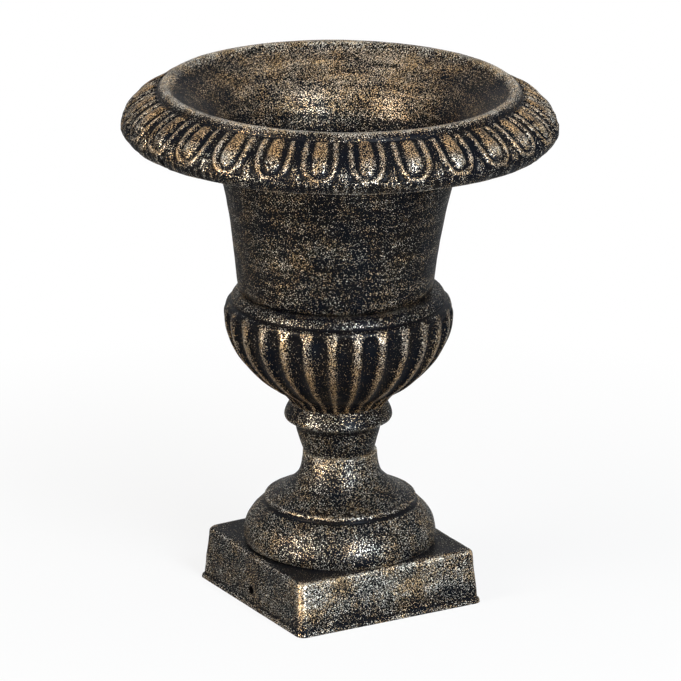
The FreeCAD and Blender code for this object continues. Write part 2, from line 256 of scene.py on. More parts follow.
def square_ring(half, corner, share):
    """A point round a square with rounded corners, for each share of one turn.

    A quarter is a straight half side, a corner arc and the next straight. The sides get seven
    tenths of the turn. When the corner is as large as the half side, the square is a circle.
    """
    quarter = np.floor(share * 4.0)
    t = share * 4.0 - quarter
    straight = half - corner
    first = np.clip(t / 0.35, 0.0, 1.0)
    turn = np.clip((t - 0.35) / 0.3, 0.0, 1.0) * math.pi / 2.0
    last = np.clip((t - 0.65) / 0.35, 0.0, 1.0)
    x = straight + corner * np.cos(turn) - straight * last
    y = straight * first + corner * np.sin(turn)
    heading = quarter * math.pi / 2.0
    return x * np.cos(heading) - y * np.sin(heading), x * np.sin(heading) + y * np.cos(heading)


def cast_waves(points, height, seed):
    """How far sand and hot iron have moved a surface, in millimetres.

    It is a sum of sixteen sine waves through space, each with its own direction, and lengths from
    seven to fifty millimetres, the long ones higher.
    """
    draw = np.random.default_rng(seed)
    shortest, longest, count = 7.0, 50.0, 16
    sum_height = 2.2
    waves = np.zeros(points.shape[:-1])
    for length in np.geomspace(shortest, longest, count):
        direction = draw.normal(size=3)
        direction *= 2.0 * math.pi / length / np.linalg.norm(direction)
        wave = np.sin(points @ direction + draw.uniform(0.0, 2.0 * math.pi))
        waves += wave * (length / longest) ** 0.6
    return waves * height / sum_height


def wrapped_faces(rows, columns, closed, first=0):
    """Four corners of each face of a grid whose last column meets its first.

    When closed, the last row meets the first row too.
    """
    row = np.arange(rows if closed else rows - 1)[:, None]
    column = np.arange(columns)[None, :]
    below = (row + 1) % rows
    beside = (column + 1) % columns
    return first + np.stack([row * columns + column, row * columns + beside,
                             below * columns + beside, below * columns + column],
                            axis=-1).reshape(-1, 4)


def casting(name, points, faces, rub_and_light, hollow_and_shade, bronze):
    """A casting's mesh from points in millimetres and blocks of faces, turned to look outwards.

    Each point carries how much the brush rubs it, with painted light added on some pieces,
    how sheltered it is, with painted shade added on some, and how much of its gold is the
    browner kind.
    """
    mesh = bpy.data.meshes.new(name)
    mesh.from_pydata((points.reshape(-1, 3) * MM).tolist(), [],
                     [face[::-1] for block in faces for face in block.tolist()])
    for title, values in (("rub_and_light", rub_and_light), ("hollow_and_shade", hollow_and_shade), ("bronze", bronze)):
        layer = mesh.attributes.new(title, "FLOAT", "POINT")
        layer.data.foreach_set("value", np.clip(values, 0.0, 1.0).astype(np.float32).ravel())
    mesh.shade_smooth()
    mesh.update()
    piece = bpy.data.objects.new(name, mesh)
    bpy.context.scene.collection.objects.link(piece)
    return piece


def drill(piece, point, direction, radius, length, sides=32):
    """Cuts a round hole through a casting, and leaves its wall black, without any gold.

    The hole's axis goes through the point along the direction, and a point of the mesh is on its
    wall when it lies no more than a hair beyond the radius from that axis.
    """
    turn = np.linspace(0.0, 2.0 * math.pi, sides, endpoint=False)
    direction = np.array(direction, float)
    side = np.cross(direction, [0.3, 0.5, 0.8])
    side /= np.linalg.norm(side)
    other = np.cross(direction, side)
    ring = radius * (np.cos(turn)[:, None] * side + np.sin(turn)[:, None] * other)
    ends = np.vstack([ring - direction * length / 2, ring + direction * length / 2])
    peg_mesh = bpy.data.meshes.new("peg")
    peg_mesh.from_pydata(((ends + np.array(point)) * MM).tolist(), [],
                         wrapped_faces(2, sides, False).tolist()
                         + [list(range(sides - 1, -1, -1)), list(range(sides, 2 * sides))])
    peg_mesh.update()
    peg = bpy.data.objects.new("peg", peg_mesh)
    bpy.context.scene.collection.objects.link(peg)
    cut = piece.modifiers.new("hole", "BOOLEAN")
    cut.solver = "MANIFOLD"
    cut.object = peg
    bpy.context.view_layer.update()
    drilled = bpy.data.meshes.new_from_object(
        piece.evaluated_get(bpy.context.evaluated_depsgraph_get()))
    drilled.materials.clear()
    piece.modifiers.clear()
    piece.data = drilled
    bpy.data.objects.remove(peg)

    places = np.empty(len(drilled.vertices) * 3)
    drilled.vertices.foreach_get("co", places)
    off_axis = np.linalg.norm(np.cross(places.reshape(-1, 3) / MM - np.array(point), direction),
                              axis=1)
    wall = off_axis < radius * 1.02
    for title, bare in (("hollow_and_shade", 1.0), ("rub_and_light", 0.0)):
        values = np.empty(len(wall))
        drilled.attributes[title].data.foreach_get("value", values)
        drilled.attributes[title].data.foreach_set("value", np.where(wall, bare, values))


def rubbed_iron(name, cover, strokes):
    """Black paint over sand grain, with pale gold on the grains that a dry brush touches.

    The grain is noise about half a millimetre long. A grain is gold where it stands higher than a
    limit. The limit falls with the cover, the piece's rub attribute, which also carries painted
    highlights, broad patches and long level brush strokes, and rises in the hollows and where the
    hollow attribute carries painted shade. Gold is thin where a grain is just touched, and where
    it is thick its hue wanders between pale and warm, or goes to brown with the piece's bronze
    attribute. The same grain lifts the surface.
    """
    pale_gold = (0.88, 0.86, 0.78, 1.0)
    warm_gold = (0.87, 0.64, 0.36, 1.0)
    brown_gold = (0.78, 0.47, 0.19, 1.0)
    thin_pale = (0.13, 0.098, 0.06, 1.0)
    thin_warm = (0.17, 0.085, 0.034, 1.0)
    blue_black = (0.0022, 0.0032, 0.0058, 1.0)
    brown_black = (0.0052, 0.0044, 0.0042, 1.0)
    rub_weight = 0.40
    hollow_weight = 0.40
    patch_weight = 0.065

    iron = bpy.data.materials.new(name)
    iron.use_nodes = True
    tree = iron.node_tree
    place = add_node(tree, "ShaderNodeTexCoord").outputs["Object"]

    def grain(scale, detail, vector=place):
        return add_node(tree, "ShaderNodeTexNoise", {"Vector": vector, "Scale": scale,
                                                     "Detail": detail}).outputs["Fac"]

    def attribute(title):
        return add_node(tree, "ShaderNodeAttribute", attribute_name=title).outputs["Fac"]

    def blend(share, first, second):
        # The mixer's colours are its inputs 6 and 7 and its output 2.
        return add_node(tree, "ShaderNodeMix", {"Factor": share, 6: first, 7: second},
                        data_type="RGBA").outputs[2]

    squeezed = add_node(tree, "ShaderNodeMapping", {"Vector": place, "Scale": (0.09, 0.09, 1.0)})
    hollow_and_shade = attribute("hollow_and_shade")
    height = grain(2050.0, 0.0)
    patches = grain(62.0, 3.0)
    stroke = grain(330.0, 2.0, squeezed.outputs["Vector"])
    hue = reckon(tree, "ADD", reckon(tree, "MULTIPLY", grain(95.0, 2.0), 0.6),
                 reckon(tree, "MULTIPLY", grain(900.0, 0.0), 0.4))

    touched = reckon(tree, "ADD", cover, reckon(tree, "MULTIPLY", attribute("rub_and_light"), rub_weight))
    touched = reckon(tree, "ADD", touched,
                     spread(tree, patches, 0.3, 0.7, -patch_weight, patch_weight))
    touched = reckon(tree, "ADD", touched, spread(tree, stroke, 0.35, 0.65, -strokes, strokes))
    touched = reckon(tree, "SUBTRACT", touched, reckon(tree, "MULTIPLY", hollow_and_shade, hollow_weight))
    limit = spread(tree, touched, 0.0, 1.0, 0.81, 0.33)
    proud = reckon(tree, "SUBTRACT", height, limit)
    gold = spread(tree, proud, -0.004, 0.020, 0.0, 1.0)

    warmth = spread(tree, hue, 0.42, 0.62, 0.0, 1.0)
    thick_gold = blend(attribute("bronze"), blend(warmth, pale_gold, warm_gold), brown_gold)
    gold_colour = blend(spread(tree, proud, 0.0, 0.09, 0.0, 1.0),
                        blend(warmth, thin_pale, thin_warm), thick_gold)
    black = blend(spread(tree, patches, 0.35, 0.65, 0.0, 1.0), blue_black, brown_black)
    relief = add_node(tree, "ShaderNodeBump", {
        "Height": height, "Distance": 0.00008, "Strength": spread(tree, hollow_and_shade, 0.0, 1.0, 1.0, 0.4)})
    feed(tree, tree.nodes["Principled BSDF"], {
        "Base Color": blend(gold, black, gold_colour),
        "Roughness": spread(tree, gold, 0.0, 1.0, 0.42, 0.38),
        "Metallic": reckon(tree, "MULTIPLY", gold, 0.4),
        "Specular IOR Level": 0.03,
        "Normal": relief.outputs["Normal"]})
    return iron


plinth_runs = [
    [(bolt_bore, plate_under), (bolt_bore, plinth_top)],
    round_corner((bolt_bore, plinth_top), (plinth_top_half, plinth_top),
                 (plinth_foot_half, lip_height), plinth_edge_round),
    [(60.45, lip_height), (61.4, 2.5), (lip_half, 0.0), (inside_foot_half, 0.0)],
    round_corner((inside_foot_half, 0.0), (inside_top_half, plate_under), (bolt_bore, plate_under),
                 3.0),
]
plinth_line, plinth_bend, _ = cast_outline(plinth_runs, rounding=0.35, rows=120)
plinth_half = plinth_line[:, :1]
plinth_high = plinth_line[:, 1:]
plinth_corner = np.interp(plinth_half, [bolt_bore, 40.0, 60.0], [bolt_bore, 6.0, 4.8])
plinth_share = (np.arange(plinth_columns) / plinth_columns)[None, :]
plinth_x, plinth_y = square_ring(plinth_half, plinth_corner, plinth_share)
# The box came out of the sand a little askew: its top is turned by a degree.
plinth_twist = np.radians(plinth_turned) * plinth_high / plinth_top
plinth_x, plinth_y = (plinth_x * np.cos(plinth_twist) - plinth_y * np.sin(plinth_twist),
                      plinth_x * np.sin(plinth_twist) + plinth_y * np.cos(plinth_twist))
plinth_points = np.stack([plinth_x, plinth_y, plinth_high + 0.0 * plinth_x], axis=-1)
plinth_push = cast_waves(plinth_points, 0.22, 3) * soft_step(plinth_points[..., 2], 0.0, 3.0)
plinth_out = plinth_points[..., :2] / np.linalg.norm(plinth_points[..., :2], axis=-1, keepdims=True)
plinth_points[..., :2] += plinth_out * plinth_push[..., None]
# Its plate has sunk a little over a millimetre towards the near and the left corner.
plinth_sunk = soft_step(-plinth_points[..., 0] - 0.3 * plinth_points[..., 1], -10.0, 60.0)
plinth_points[..., 2] -= plate_sunk * plinth_sunk * plinth_points[..., 2] / plinth_top

# The brush rubs the edges and upright corners and mostly misses the lip. The right side's wall gets
# more gold as painted light and the left's a little more, and the top plate under the foot is kept
# nearly black as painted shade.
plinth_quarter = (plinth_share * 4.0) % 1.0
plinth_arris = np.exp(-((plinth_quarter - 0.5) / 0.10) ** 4) * soft_step(plinth_half, 50.0, 56.0)
plinth_wall = soft_fall(plinth_half, 59.4, 60.2)
# Painted light: the right side's wall gets more gold.
plinth_right_painted_light = soft_step(-plinth_points[..., 1], 50.0, 56.0) * plinth_wall
plinth_left = soft_step(-plinth_points[..., 0], 50.0, 56.0) * plinth_wall
plinth_rub_and_light = (soft_step(plinth_bend, 0.06, 0.55)[:, None] * 0.6 + plinth_arris * 0.22
              + plinth_right_painted_light * 0.36 + plinth_left * 0.06)
plinth_rub_and_light *= 1.0 - 0.6 * soft_fall(plinth_high, 2.7, 4.0)
plinth_hollow_and_shade = soft_step(-plinth_bend, 0.1, 0.6)[:, None] * 0.7 + 0.0 * plinth_share
# Painted shade: the top face gets less gold, so it stays nearly black.
plinth_hollow_and_shade += 0.45 * soft_step(plinth_high, 31.5, 32.6)
plinth = casting("plinth_casting", plinth_points, [wrapped_faces(*plinth_points.shape[:2], True)],
                 plinth_rub_and_light, plinth_hollow_and_shade, plinth_arris * 0.4)
drill(plinth, weep_place, (1.0, 0.0, 0.0), weep_radius, 14.0)
plinth.data.materials.append(rubbed_iron("rubbed_plinth", cover=0.28, strokes=0.025))
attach(plinth, "root")
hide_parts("plinth")


# Foot
# A round casting: one big moulding, a small raised ring and a neck that sweeps in to the knop. It
# is cored out from below and stands on the plinth, slightly over its rounded edges.
knop_seat = 88.0
ring_under = 57.5
neck_low = 71.0
front_hang = 1.0


def smooth_line(points, count):
    """A line that passes smoothly through the given points.

    Between two points it is the cubic whose slopes at both ends are those of the neighbours.
    """
    points = np.array(points, float)
    at = np.concatenate([[0.0], np.cumsum(np.hypot(*np.diff(points, axis=0).T))])
    slope = np.stack([np.gradient(points[:, k], at) for k in range(2)], axis=1)
    t = np.linspace(0.0, at[-1], count)
    i = np.clip(np.searchsorted(at, t, side="right") - 1, 0, len(at) - 2)
    gap = at[i + 1] - at[i]
    u = ((t - at[i]) / gap)[:, None]
    gap = gap[:, None]
    return ((2 * u ** 3 - 3 * u ** 2 + 1) * points[i] + (u ** 3 - 2 * u ** 2 + u) * gap * slope[i]
            + (3 * u ** 2 - 2 * u ** 3) * points[i + 1] + (u ** 3 - u ** 2) * gap * slope[i + 1])


def turned_points(line, columns):
    """A section line swept round the axis: each row's distance out becomes a circle."""
    turn = np.linspace(0.0, 2.0 * math.pi, columns, endpoint=False)[None, :]
    return np.stack([line[:, :1] * np.cos(turn), line[:, :1] * np.sin(turn),
                     line[:, 1:] + 0.0 * turn], axis=-1)


def turned_surface(runs, rounding, rows, columns, waves, seed):
    """A round casting's points, with its arrises rubbed and its inner corners sheltered.

    The rub grows with how sharply the section turns outwards, and the shelter with how sharply it
    turns inwards.
    """
    line, bend, _ = cast_outline(runs, rounding, rows)
    points = turned_points(line, columns)
    away = points[..., :2] / np.maximum(line[:, :1, None], 1.0)
    points[..., :2] += away * cast_waves(points, waves, seed)[..., None]
    rub_and_light = soft_step(bend, 0.07, 0.7)[:, None] * 0.55 + 0.0 * points[..., 0]
    hollow_and_shade = soft_step(-bend, 0.05, 0.45)[:, None] + 0.0 * points[..., 0]
    return points, rub_and_light, hollow_and_shade


foot_runs = [
    [(51.6, plinth_top), (51.6, 41.0)],
    smooth_line([(48.4, 49.0), (42.6, 53.0), (36.0, 56.4), (29.0, 60.6), (22.6, 66.0), (16.8, 75.0)],
                20),
    [(16.8, 82.0), (bolt_bore, 82.0), (bolt_bore, knop_seat), (21.8, knop_seat)],
    smooth_line([(21.8, knop_seat), (21.9, 84.4), (22.3, 82.0), (22.7, 79.6), (23.3, 77.2),
                 (24.2, 74.8), (25.6, 72.4), (27.8, 70.0), (30.7, 67.5), (34.1, 65.0),
                 (38.2, 62.6), (41.2, 60.9)], 40),
    [(42.4, 60.6), (43.9, 60.4), (44.6, 59.6), (44.5, 58.0), (44.5, 57.0)],
    smooth_line([(45.2, 56.3), (46.6, 55.5), (49.1, 53.0), (51.7, 50.6), (53.4, 48.2),
                 (54.9, 45.6), (55.8, 43.2), (56.4, 40.4), (56.7, 37.0), (56.5, 34.6),
                 (55.9, plinth_top)], 40),
]
foot_points, foot_rub_and_highlight, foot_hollow = turned_surface(foot_runs, rounding=0.35, rows=150, columns=256,
                                                    waves=0.16, seed=5)
# Its front edge hangs a millimetre, towards the plinth's near corner, where the plate is low too.
foot_turn = np.degrees(np.arctan2(foot_points[..., 1], foot_points[..., 0]))
foot_front = np.exp(-((foot_turn - front) / 34.0) ** 4)
foot_front *= soft_step(np.hypot(foot_points[..., 0], foot_points[..., 1]), 48.5, 52.5)
foot_points[..., 2] -= front_hang * foot_front * soft_fall(foot_points[..., 2], 34.5, 37.5)
# The brush goes lightly over the ring and the shoulder above it. A little more gold on the
# moulding's fullest part is partly the brush on its bulge and partly painted highlight; more on
# its right and most on the neck is painted highlight.
foot_high = foot_points[..., 2]
foot_right_painted_light = soft_step(np.cos(np.radians(foot_turn - right)), 0.1, 0.95)
foot_rub_and_highlight *= 1.0 - 0.35 * soft_step(foot_high, ring_under, 58.5) - 0.15 * soft_step(foot_high, 62.0, 64.0)
foot_rub_and_highlight += 0.04 * soft_step(foot_high, 37.0, 44.0) * soft_fall(foot_high, 50.0, 56.0)
# Painted light on the moulding's right side.
foot_rub_and_highlight += 0.10 * foot_right_painted_light * soft_fall(foot_high, 56.0, 60.0)
# Painted highlight on the neck.
foot_rub_and_highlight += 0.26 * soft_step(foot_high, neck_low, 84.0)
foot = casting("foot_casting", foot_points, [wrapped_faces(*foot_points.shape[:2], True)], foot_rub_and_highlight,
               foot_hollow, 0.0 * foot_rub_and_highlight)
foot.data.materials.append(rubbed_iron("rubbed_foot", cover=0.27, strokes=0.035))
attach(foot, "root")
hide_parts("foot")


# Knop
# The short casting between foot and cup: a taper that widens upwards, an undercut and a bulging
# collar with a crisp lower arris. It is cored out from above, and stands a millimetre to the left
# on the foot, seen from the front.
cup_seat = 118.8
leftwards = np.array([math.cos(math.radians(left)), math.sin(math.radians(left))])
knop_aside = 1.0
knop_runs = [
    [(15.8, 94.0), (20.2, cup_seat)],
    smooth_line([(31.2, 108.5), (31.7, 109.6), (31.6, 111.4), (30.8, 113.8), (29.6, 116.2),
                 (28.2, cup_seat)], 24)[::-1],
    smooth_line([(20.7, 88.4), (21.2, 90.0), (22.1, 92.4), (23.3, 96.4), (24.6, 101.2),
                 (25.1, 103.6), (26.3, 105.6), (28.4, 107.2), (30.4, 108.0)], 40)[::-1],
    [(20.2, knop_seat), (bolt_bore, knop_seat), (bolt_bore, 94.0)],
]
knop_points, knop_rub, knop_hollow_and_shade = turned_surface(knop_runs, rounding=0.3, rows=110, columns=224,
                                                    waves=0.14, seed=7)
# Painted shade: the collar's round gets less gold, so it reads darker.
knop_hollow_and_shade += 0.12 * soft_step(knop_points[..., 2], 107.0, 109.5)
knop_points[..., :2] += knop_aside * leftwards
knop = casting("knop_casting", knop_points, [wrapped_faces(*knop_points.shape[:2], True)], knop_rub,
               knop_hollow_and_shade, 0.0 * knop_rub)
knop.data.materials.append(rubbed_iron("rubbed_knop", cover=0.265, strokes=0.03))
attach(knop, "root")
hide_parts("knop")


# Cup
# The round bowl has twenty-eight hollow flutes with rounded heads, and crowned lands between them
# that the brush has covered in gold. Above a crisp ledge a plain lip slopes in under the bell. It
# sits nearly a millimetre to the left, seen from the front.
cup_top = 186.6
cup_full = 66.5
cup_aside = 0.8
flute_count = 28
flute_turn = -0.8
flute_half = 3.95
flute_depth = 2.5
flute_head_top = 176.6
flute_head_length = 4.6
land_crown = 0.55
cup_side = smooth_line([(28.2, cup_seat), (33.9, 125.4), (41.1, 130.2), (47.0, 135.0),
                        (51.8, 139.8), (56.0, 144.7), (59.4, 149.5), (62.1, 154.4),
                        (64.2, 159.2), (65.6, 164.0), (66.3, 168.6), (cup_full, 171.6),
                        (66.2, 175.4), (65.5, 178.8)], 60)
cup_lip = smooth_line([(62.6, 181.2), (62.4, 182.6), (61.2, 184.8), (59.4, 186.2), (57.4, cup_top)],
                      14)
cup_runs = [
    [(22.0, 124.8)],
    smooth_line([(59.3, 171.0), (58.7, 164.0), (55.6, 155.6), (48.4, 145.6), (39.0, 137.0),
                 (27.0, 128.4)], 16)[::-1],
    [(50.0, 178.8), (50.0, cup_top)],
    cup_lip[::-1],
    [(62.2, 180.6), (63.0, 180.1), (65.1, 179.2)],
    cup_side[::-1],
    [(bolt_bore, cup_seat), (bolt_bore, 124.8)],
]
cup_line, cup_bend, _ = cast_outline(cup_runs, rounding=0.28, rows=160)
cup_columns = flute_count * 22
cup_points = turned_points(cup_line, cup_columns)
cup_heading = np.degrees(np.linspace(0.0, 2.0 * math.pi, cup_columns, endpoint=False))[None, :]
cup_pitch = 360.0 / flute_count
cup_off = np.abs((cup_heading - flute_turn + cup_pitch / 2) % cup_pitch - cup_pitch / 2)
cup_radius = cup_line[:, :1]
cup_high = cup_line[:, 1:]

# A flute is hollow by a round share of its width, and its half width grows as a circle's does from
# nothing at the head's top. A land is crowned by a power of its share of the width between flutes.
outside = soft_step(cup_radius - np.interp(cup_high, cup_side[:, 1], cup_side[:, 0]), -3.0, -1.5)
fluted = outside * soft_fall(cup_high, 178.4, 179.2)
head = np.clip((flute_head_top - cup_high) / flute_head_length, 0.0, 1.0)
half_here = flute_half * np.sqrt(np.maximum(1.0 - (1.0 - head) ** 2, 0.0))
across = np.clip(cup_off / np.maximum(half_here, 0.01), 0.0, 1.0)
flute_deep = flute_depth * (cup_radius / cup_full) * np.sqrt(1.0 - across ** 2) ** 0.9 * head ** 0.35
land_share = np.clip((cup_off - half_here) / np.maximum(cup_pitch / 2 - half_here, 0.1), 0.0, 1.0)
land_rise = land_crown * (1.0 - (1.0 - land_share) ** 2.2) * (cup_radius / cup_full)
land_rise *= soft_step(head, 0.0, 0.6)
cup_push = fluted * (land_rise - flute_deep)
cup_away = cup_points[..., :2] / cup_radius[..., None]
cup_points[..., :2] += cup_away * (cup_push + cast_waves(cup_points, 0.14, 11))[..., None]
cup_points[..., :2] += cup_aside * leftwards

# The brush covers the lands and their heads under the ledge, and misses the flutes. The small flats
# over the flute heads, under the ledge, get less gold as painted shade. The lower the lands, the
# browner their gold.
land_head = outside * soft_step(-np.abs(cup_high - 177.2), -1.8, -0.8) * soft_step(cup_off, 1.6, 3.0)
# Painted shade under the ledge, over the flute heads.
painted_shade_above_flute = outside * soft_step(cup_high, 174.6, 176.0) * soft_fall(cup_high, 179.2, 179.8)
painted_shade_above_flute = painted_shade_above_flute * soft_fall(cup_off, 2.6, 4.6)
cup_land = fluted * soft_step(land_share, -0.15, 0.75) * soft_step(head, 0.0, 0.5)
cup_rub_and_shade = soft_step(cup_bend, 0.1, 0.8)[:, None] * 0.55 + land_head * 0.38 + cup_land * 0.62
cup_rub_and_shade *= 1.0 - 0.8 * painted_shade_above_flute
cup_hollow_and_shade = soft_step(-cup_bend, 0.1, 0.6)[:, None] * 0.8 + painted_shade_above_flute * 0.4
cup_hollow_and_shade = cup_hollow_and_shade + fluted * soft_step(flute_deep, 0.35, 1.2) * 0.36
cup_bronze = fluted * (0.35 + 0.4 * soft_fall(cup_high, 146.0, 168.0)) + 0.0 * cup_rub_and_shade
cup = casting("cup_casting", cup_points, [wrapped_faces(*cup_points.shape[:2], True)], cup_rub_and_shade,
              cup_hollow_and_shade, cup_bronze)
cup.data.materials.append(rubbed_iron("rubbed_cup", cover=0.225, strokes=0.03))
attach(cup, "root")
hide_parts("cup")


# Bell
# The pot and its mouth are one casting. The rolled rim carries an egg-and-dart band between a
# plain bead at the lip and a combed edge band; there is a nick in the edge, left by the mould.
# Three drains go through the floor.
floor_top = 192.6
bead_top = 309.3
egg_count = 28
egg_turn = 3.4
band_depth = 1.45
frame_height = 1.35
egg_height = 1.95
dart_height = 1.25
nick_heading = -172.75
drain_circle = 30.0
drain_radius = 4.0
bell_aside = 2.5
bell_tilt = 0.013
bell_outside = smooth_line([(57.3, 193.0), (58.1, 200.2), (59.1, 207.4), (60.1, 214.7),
                            (61.1, 221.9), (62.3, 229.1), (63.6, 236.4), (65.0, 243.6),
                            (66.7, 250.8), (68.2, 262.0), (69.9, 273.0), (74.3, 283.4),
                            (80.4, 288.6), (88.4, 294.2), (97.6, 299.2), (106.0, 298.8),
                            (113.2, 294.2), (117.0, 287.0), (117.3, 279.4)], 70)
bell_slope = smooth_line([(105.0, 306.3), (109.9, 304.0), (114.5, 301.5), (117.9, 299.1),
                          (120.8, 296.7), (122.9, 294.3), (124.6, 291.9), (125.7, 289.4),
                          (126.3, 287.0), (126.2, 284.6), (125.2, 282.6), (123.6, 280.6),
                          (122.0, 279.1)], 200)
bell_inside = smooth_line([(96.8, 304.9), (95.6, 304.4), (90.6, 301.6), (84.0, 297.4),
                           (76.4, 291.8), (70.0, 285.0), (66.2, 277.0), (64.2, 268.6),
                           (62.4, 258.0), (61.2, 250.0), (59.4, 239.0), (57.2, 225.0),
                           (55.0, 211.0), (52.9, 200.0)], 60)
slope_at = np.concatenate([[0.0], np.cumsum(np.hypot(*np.diff(bell_slope, axis=0).T))])
slope_rows = 70
slope_columns = egg_count * 40
down = np.linspace(0.0, slope_at[-1], slope_rows)
slope_line = np.stack([np.interp(down, slope_at, bell_slope[:, k]) for k in range(2)], axis=1)
slope_run = np.gradient(slope_line, down, axis=0)
slope_out = np.stack([-slope_run[:, 1], slope_run[:, 0]], axis=1)
slope_out /= np.linalg.norm(slope_out, axis=1, keepdims=True)


def egg_and_dart(off, down):
    """How high the carving stands, from millimetres beside an egg's middle and below the bead.

    The frame is a ridge along a curve that is straight down both sides and closes under the egg:
    the curve is where the sum of (off over half width) and (depth below the shoulder over the
    closing length), each to the power of the squareness, is one. The egg is a dome inside a
    smaller curve of the same kind. The dart is a wedge midway between two eggs that widens
    downwards.
    """
    shoulder = 14.0
    closing = 15.2
    squareness = 2.6
    half = 8.7 * (0.93 + 0.10 * soft_step(down, 0.0, shoulder))
    low = np.clip((down - shoulder) / closing, 0.0, None)
    ring = ((off / half) ** squareness + low ** squareness) ** (1 / squareness)
    steep = np.hypot((off / half) ** (squareness - 1) / half, low ** (squareness - 1) / closing)
    steep *= np.maximum(ring, 0.05) ** (1 - squareness)
    beside = (ring - 1.0) / np.maximum(steep, 0.02)
    frame_ridge = soft_fall(np.abs(beside), 0.5, 2.4)

    egg_half = 3.9 + 1.1 * soft_step(down, 2.0, 20.0)
    egg_low = np.clip((down - 19.0) / 7.9, 0.0, None)
    egg_ring = np.sqrt((off / egg_half) ** 2 + egg_low ** 2)
    egg = np.sqrt(np.clip(1.0 - egg_ring ** 2, 0.0, 1.0))

    middle = 12.9 * (0.87 + 0.13 * soft_step(down, 0.0, 22.0)) - off
    dart_half = 0.3 + 2.1 * soft_step(down, 16.0, 30.0)
    dart = np.clip(1.0 - np.abs(middle) / dart_half, 0.0, 1.0) * soft_step(down, 16.0, 22.0)
    dart *= soft_step(beside, 0.4, 1.6)

    ended = soft_step(down, 29.2, 30.4)
    level = -band_depth * (1.0 - ended) * soft_step(down, 0.1, 0.9)
    carved = np.maximum(np.maximum(frame_height * frame_ridge, egg_height * egg), dart_height * dart)
    level += soft_step(down, 0.9, 3.4) * (1.0 - ended) * carved
    return level, frame_ridge, egg, dart, ended


slope_heading = np.degrees(np.linspace(0.0, 2.0 * math.pi, slope_columns, endpoint=False))[None, :]
egg_pitch = 360.0 / egg_count
egg_off = np.abs((slope_heading - egg_turn + egg_pitch / 2) % egg_pitch - egg_pitch / 2)
egg_off_mm = np.radians(egg_off) * slope_line[:, :1]
level, frame_ridge, egg, dart, below_eggs = egg_and_dart(egg_off_mm, down[:, None] + 0.0 * egg_off)
# The edge band is combed: each pair of columns is drawn high or low, and neighbours are averaged.
comb = np.repeat(np.random.default_rng(19).normal(size=slope_columns // 2), 2)
comb = (comb + np.roll(comb, 1)) / 2.0
combed = soft_step(down, 29.8, 31.0) * soft_fall(down, slope_at[-1] - 1.4, slope_at[-1] - 0.4)
level += combed[:, None] * comb[None, :] * 0.2
slope_points = turned_points(slope_line, slope_columns)
slope_away = slope_points[..., :2] / slope_line[:, :1, None]
slope_push = level + cast_waves(slope_points, 0.16, 13) * soft_step(down, 0.0, 2.0)[:, None]
slope_points[..., :2] += slope_away * (slope_push * slope_out[:, :1])[..., None]
slope_points[..., 2] += slope_push * slope_out[:, 1:]
nick_off = (slope_heading - nick_heading + 180.0) % 360.0 - 180.0
nick = np.exp(-(nick_off / 0.55) ** 4) * soft_fall(slope_line[:, 1:], 281.5, 286.0)
slope_points[..., :2] -= slope_away * (3.2 * nick)[..., None]
slope_points[..., 2] += 3.0 * nick

# The brush has rubbed the frames most, then the lower edge, the eggs, the darts and the comb's
# ridges. Less gold towards the carving's lower ends is painted shade, and more on its right side is
# painted light. The eggs' upper halves and the frames have browner gold.
slope_rub_and_light = np.maximum(np.maximum(frame_ridge * 0.74, soft_step(egg, 0.2, 0.8) * 0.62), dart * 0.45)
slope_rub_and_light = slope_rub_and_light * soft_fall(below_eggs, 0.0, 1.0)
slope_rub_and_light += combed[:, None] * soft_step(comb, -0.4, 1.0) * 0.4
# Painted shade: less gold towards the carving's lower ends.
slope_rub_and_light *= (soft_step(down, 1.0, 4.0) * (1.0 - 0.3 * soft_step(down, 21.0, 28.0)))[:, None]
# Painted light: more gold on the carving's right side.
slope_right_painted_light = soft_step(np.cos(np.radians(slope_heading - right)), 0.3, 0.95)
slope_rub_and_light += 0.12 * slope_right_painted_light * soft_step(slope_rub_and_light, 0.1, 0.4)
slope_edge = soft_step(down, slope_at[-1] - 1.6, slope_at[-1] - 0.2)[:, None]
slope_rub_and_light = np.maximum(slope_rub_and_light, slope_edge * 0.65)
slope_hollow = soft_step(-level, 0.5, 1.3) * (0.34 - 0.34 * np.maximum(egg, frame_ridge))
slope_hollow += combed[:, None] * soft_step(-comb, 0.0, 1.2) * 0.4 + nick
slope_bronze = soft_step(egg, 0.1, 0.6) * soft_fall(down, 13.0, 21.0)[:, None] * 0.8
slope_bronze += 0.4 * frame_ridge

fan = 5
plain_columns = slope_columns // fan
plain_runs = [
    [tuple(bell_slope[-1])], [(121.0, 278.9), (117.9, 279.0)], bell_outside[::-1],
    smooth_line([(57.3, 193.0), (57.0, 190.2), (56.3, 188.0), (55.0, cup_top)], 10),
    [(bolt_bore, cup_top), (bolt_bore, floor_top), (45.0, floor_top)],
    smooth_line([(45.0, floor_top), (49.4, 193.8), (51.6, 196.0), (52.7, 199.0)], 10),
    bell_inside[::-1],
    smooth_line([(97.3, 305.4), (97.6, 307.4), (98.8, 308.8), (100.6, bead_top), (102.6, 308.9),
                 (104.2, 307.6), (104.9, 306.3)], 24),
    [tuple(bell_slope[0])],
]
